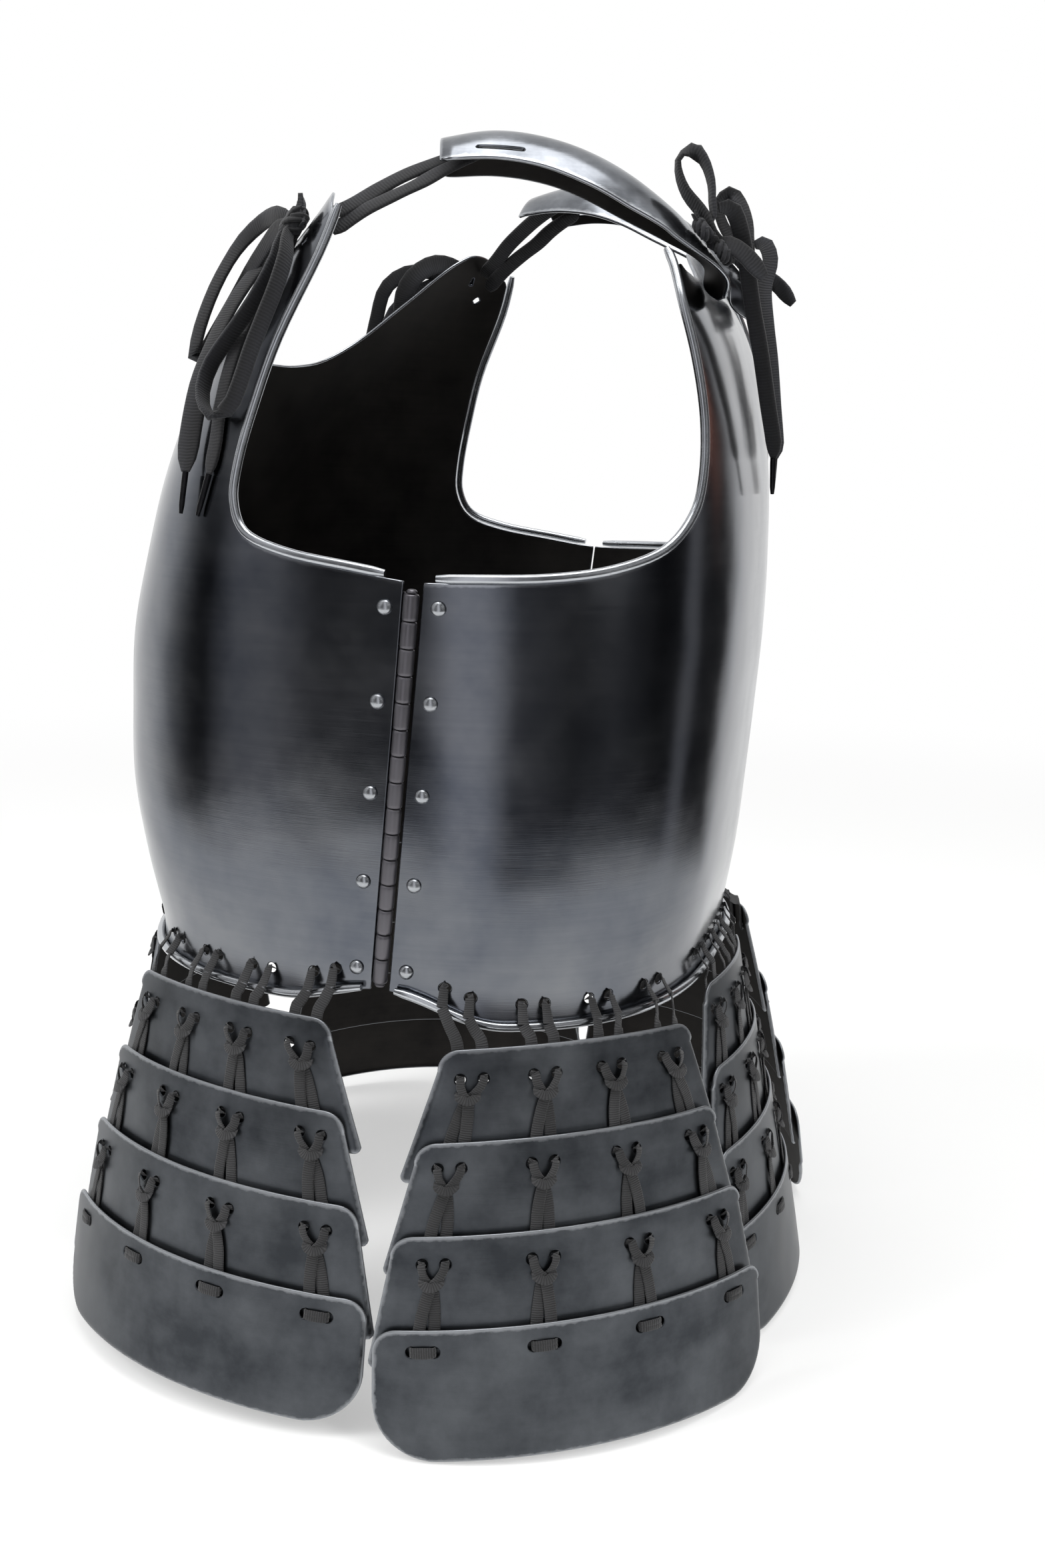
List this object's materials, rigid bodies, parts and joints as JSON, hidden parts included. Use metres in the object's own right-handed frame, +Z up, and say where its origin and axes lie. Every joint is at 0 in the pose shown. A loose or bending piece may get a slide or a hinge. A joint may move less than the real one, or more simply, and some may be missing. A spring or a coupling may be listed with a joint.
{
  "type": "body armour",
  "caption": "Plate cuirass that opens on a side hinge, with shoulder straps tied by cords and hanging tassets of laced curved lames.",
  "frame": {"origin": "the rest on the stand: midway between the crowns of the two shoulder straps, on the armour's middle plane, at the height of the wearer's shoulders", "axes": "+X to the wearer's left, where the side hinge is, +Y to the wearer's back, +Z up; the wearer faces -Y"},
  "size_m": [0.4508, 0.423, 0.6081],
  "materials": {
    "blackened_steel": "blackened and polished",
    "rim_steel": "polished",
    "hinge_steel": "browned",
    "strap_steel": "polished outside, black inside",
    "patinated_steel": "satin blue-grey patina with bright worn edges",
    "flat_lace": "flat woven lace",
    "braided_cord": "flat braided cord"
  },
  "bodies": {
    "back": {"back_shell": "blackened_steel", "back_shell_rims": "rim_steel", "hinge_back_leaf": "hinge_steel", "hinge_pin": "hinge_steel", "back_hinge_rivets": "rim_steel", "back_hanger_laces": "flat_lace"},
    "front": {"front_shell": "blackened_steel", "front_shell_rims": "rim_steel", "hinge_front_leaf": "hinge_steel", "front_hinge_rivets": "rim_steel", "front_ties": "braided_cord", "front_hanger_laces": "flat_lace"},
    "left_strap": {"left_shoulder_strap": "strap_steel", "left_strap_ties": "braided_cord"},
    "left_tail": {"left_strap_tail": "braided_cord"},
    "right_strap": {"right_shoulder_strap": "strap_steel", "right_strap_ties": "braided_cord"},
    "right_tail": {"right_strap_tail": "braided_cord"},
    "tasset_1_plate_1": {"tasset_1_lame_1": "patinated_steel", "tasset_1_laces_1": "flat_lace"},
    "tasset_1_plate_2": {"tasset_1_lame_2": "patinated_steel", "tasset_1_laces_2": "flat_lace"},
    "tasset_1_plate_3": {"tasset_1_lame_3": "patinated_steel", "tasset_1_laces_3": "flat_lace"},
    "tasset_1_plate_4": {"tasset_1_lame_4": "patinated_steel"},
    "tasset_2_plate_1": {"tasset_2_lame_1": "patinated_steel", "tasset_2_laces_1": "flat_lace"},
    "tasset_2_plate_2": {"tasset_2_lame_2": "patinated_steel", "tasset_2_laces_2": "flat_lace"},
    "tasset_2_plate_3": {"tasset_2_lame_3": "patinated_steel", "tasset_2_laces_3": "flat_lace"},
    "tasset_2_plate_4": {"tasset_2_lame_4": "patinated_steel"},
    "tasset_3_plate_1": {"tasset_3_lame_1": "patinated_steel", "tasset_3_laces_1": "flat_lace"},
    "tasset_3_plate_2": {"tasset_3_lame_2": "patinated_steel", "tasset_3_laces_2": "flat_lace"},
    "tasset_3_plate_3": {"tasset_3_lame_3": "patinated_steel", "tasset_3_laces_3": "flat_lace"},
    "tasset_3_plate_4": {"tasset_3_lame_4": "patinated_steel"},
    "tasset_4_plate_1": {"tasset_4_lame_1": "patinated_steel", "tasset_4_laces_1": "flat_lace"},
    "tasset_4_plate_2": {"tasset_4_lame_2": "patinated_steel", "tasset_4_laces_2": "flat_lace"},
    "tasset_4_plate_3": {"tasset_4_lame_3": "patinated_steel", "tasset_4_laces_3": "flat_lace"},
    "tasset_4_plate_4": {"tasset_4_lame_4": "patinated_steel"},
    "tasset_5_plate_1": {"tasset_5_lame_1": "patinated_steel", "tasset_5_laces_1": "flat_lace"},
    "tasset_5_plate_2": {"tasset_5_lame_2": "patinated_steel", "tasset_5_laces_2": "flat_lace"},
    "tasset_5_plate_3": {"tasset_5_lame_3": "patinated_steel", "tasset_5_laces_3": "flat_lace"},
    "tasset_5_plate_4": {"tasset_5_lame_4": "patinated_steel"},
    "tasset_6_plate_1": {"tasset_6_lame_1": "patinated_steel", "tasset_6_laces_1": "flat_lace"},
    "tasset_6_plate_2": {"tasset_6_lame_2": "patinated_steel", "tasset_6_laces_2": "flat_lace"},
    "tasset_6_plate_3": {"tasset_6_lame_3": "patinated_steel", "tasset_6_laces_3": "flat_lace"},
    "tasset_6_plate_4": {"tasset_6_lame_4": "patinated_steel"}
  },
  "joints": [
    {"name": "side_hinge", "type": "hinge", "parent": "back", "child": "front", "pos_m": [0.166, -0.038, -0.39205], "axis": [0.0508, 0.097, 0.994], "range_deg": [0, 38]},
    {"name": "left_strap_lift", "type": "hinge", "parent": "back", "child": "left_strap", "pos_m": [0.054, 0.092, -0.0665], "axis": [-1, 0, 0], "range_deg": [0, 50]},
    {"name": "left_tail_hang", "type": "hinge", "parent": "left_strap", "child": "left_tail", "pos_m": [0.062, 0.097, -0.0235], "axis": [-1, 0, 0], "range_deg": [-50, 0]},
    {"name": "right_strap_lift", "type": "hinge", "parent": "back", "child": "right_strap", "pos_m": [-0.054, 0.092, -0.0665], "axis": [-1, 0, 0], "range_deg": [0, 50]},
    {"name": "right_tail_hang", "type": "hinge", "parent": "right_strap", "child": "right_tail", "pos_m": [-0.062, 0.097, -0.0235], "axis": [-1, 0, 0], "range_deg": [-50, 0]},
    {"name": "tasset_1_swing", "type": "hinge", "parent": "front", "child": "tasset_1_plate_1", "pos_m": [0, -0.21706, -0.3956], "axis": [-1, 0, 0], "range_deg": [0, 55]},
    {"name": "tasset_1_gather_2", "type": "slide", "parent": "tasset_1_plate_1", "child": "tasset_1_plate_2", "axis": [0, 0.1736, 0.9848], "range_m": [0, 0.016]},
    {"name": "tasset_1_gather_3", "type": "slide", "parent": "tasset_1_plate_2", "child": "tasset_1_plate_3", "axis": [0, 0.1736, 0.9848], "range_m": [0, 0.016]},
    {"name": "tasset_1_gather_4", "type": "slide", "parent": "tasset_1_plate_3", "child": "tasset_1_plate_4", "axis": [0, 0.1736, 0.9848], "range_m": [0, 0.016]},
    {"name": "tasset_2_swing", "type": "hinge", "parent": "front", "child": "tasset_2_plate_1", "pos_m": [0.16452, -0.12038, -0.3956], "axis": [-0.3269, -0.9451, 0], "range_deg": [0, 55]},
    {"name": "tasset_2_gather_2", "type": "slide", "parent": "tasset_2_plate_1", "child": "tasset_2_plate_2", "axis": [-0.1641, 0.0568, 0.9848], "range_m": [0, 0.016]},
    {"name": "tasset_2_gather_3", "type": "slide", "parent": "tasset_2_plate_2", "child": "tasset_2_plate_3", "axis": [-0.1641, 0.0568, 0.9848], "range_m": [0, 0.016]},
    {"name": "tasset_2_gather_4", "type": "slide", "parent": "tasset_2_plate_3", "child": "tasset_2_plate_4", "axis": [-0.1641, 0.0568, 0.9848], "range_m": [0, 0.016]},
    {"name": "tasset_3_swing", "type": "hinge", "parent": "back", "child": "tasset_3_plate_1", "pos_m": [0.14912, 0.05416, -0.4026], "axis": [0.6002, -0.7998, 0], "range_deg": [0, 55]},
    {"name": "tasset_3_gather_2", "type": "slide", "parent": "tasset_3_plate_1", "child": "tasset_3_plate_2", "axis": [-0.1389, -0.1042, 0.9848], "range_m": [0, 0.016]},
    {"name": "tasset_3_gather_3", "type": "slide", "parent": "tasset_3_plate_2", "child": "tasset_3_plate_3", "axis": [-0.1389, -0.1042, 0.9848], "range_m": [0, 0.016]},
    {"name": "tasset_3_gather_4", "type": "slide", "parent": "tasset_3_plate_3", "child": "tasset_3_plate_4", "axis": [-0.1389, -0.1042, 0.9848], "range_m": [0, 0.016]},
    {"name": "tasset_4_swing", "type": "hinge", "parent": "back", "child": "tasset_4_plate_1", "pos_m": [0, 0.10366, -0.4026], "axis": [1, 0, 0], "range_deg": [0, 55]},
    {"name": "tasset_4_gather_2", "type": "slide", "parent": "tasset_4_plate_1", "child": "tasset_4_plate_2", "axis": [0, -0.1736, 0.9848], "range_m": [0, 0.016]},
    {"name": "tasset_4_gather_3", "type": "slide", "parent": "tasset_4_plate_2", "child": "tasset_4_plate_3", "axis": [0, -0.1736, 0.9848], "range_m": [0, 0.016]},
    {"name": "tasset_4_gather_4", "type": "slide", "parent": "tasset_4_plate_3", "child": "tasset_4_plate_4", "axis": [0, -0.1736, 0.9848], "range_m": [0, 0.016]},
    {"name": "tasset_5_swing", "type": "hinge", "parent": "back", "child": "tasset_5_plate_1", "pos_m": [-0.14912, 0.05416, -0.4026], "axis": [0.6002, 0.7998, 0], "range_deg": [0, 55]},
    {"name": "tasset_5_gather_2", "type": "slide", "parent": "tasset_5_plate_1", "child": "tasset_5_plate_2", "axis": [0.1389, -0.1042, 0.9848], "range_m": [0, 0.016]},
    {"name": "tasset_5_gather_3", "type": "slide", "parent": "tasset_5_plate_2", "child": "tasset_5_plate_3", "axis": [0.1389, -0.1042, 0.9848], "range_m": [0, 0.016]},
    {"name": "tasset_5_gather_4", "type": "slide", "parent": "tasset_5_plate_3", "child": "tasset_5_plate_4", "axis": [0.1389, -0.1042, 0.9848], "range_m": [0, 0.016]},
    {"name": "tasset_6_swing", "type": "hinge", "parent": "front", "child": "tasset_6_plate_1", "pos_m": [-0.16452, -0.12038, -0.3956], "axis": [-0.3269, 0.9451, 0], "range_deg": [0, 55]},
    {"name": "tasset_6_gather_2", "type": "slide", "parent": "tasset_6_plate_1", "child": "tasset_6_plate_2", "axis": [0.1641, 0.0568, 0.9848], "range_m": [0, 0.016]},
    {"name": "tasset_6_gather_3", "type": "slide", "parent": "tasset_6_plate_2", "child": "tasset_6_plate_3", "axis": [0.1641, 0.0568, 0.9848], "range_m": [0, 0.016]},
    {"name": "tasset_6_gather_4", "type": "slide", "parent": "tasset_6_plate_3", "child": "tasset_6_plate_4", "axis": [0.1641, 0.0568, 0.9848], "range_m": [0, 0.016]}
  ],
  "couplings": [
    {"joint": "left_tail_hang", "follows": "left_strap_lift", "ratio": -1},
    {"joint": "right_tail_hang", "follows": "right_strap_lift", "ratio": -1},
    {"joint": "tasset_1_gather_3", "follows": "tasset_1_gather_2", "ratio": 1},
    {"joint": "tasset_1_gather_4", "follows": "tasset_1_gather_2", "ratio": 1},
    {"joint": "tasset_2_gather_3", "follows": "tasset_2_gather_2", "ratio": 1},
    {"joint": "tasset_2_gather_4", "follows": "tasset_2_gather_2", "ratio": 1},
    {"joint": "tasset_3_gather_3", "follows": "tasset_3_gather_2", "ratio": 1},
    {"joint": "tasset_3_gather_4", "follows": "tasset_3_gather_2", "ratio": 1},
    {"joint": "tasset_4_gather_3", "follows": "tasset_4_gather_2", "ratio": 1},
    {"joint": "tasset_4_gather_4", "follows": "tasset_4_gather_2", "ratio": 1},
    {"joint": "tasset_5_gather_3", "follows": "tasset_5_gather_2", "ratio": 1},
    {"joint": "tasset_5_gather_4", "follows": "tasset_5_gather_2", "ratio": 1},
    {"joint": "tasset_6_gather_3", "follows": "tasset_6_gather_2", "ratio": 1},
    {"joint": "tasset_6_gather_4", "follows": "tasset_6_gather_2", "ratio": 1}
  ]
}
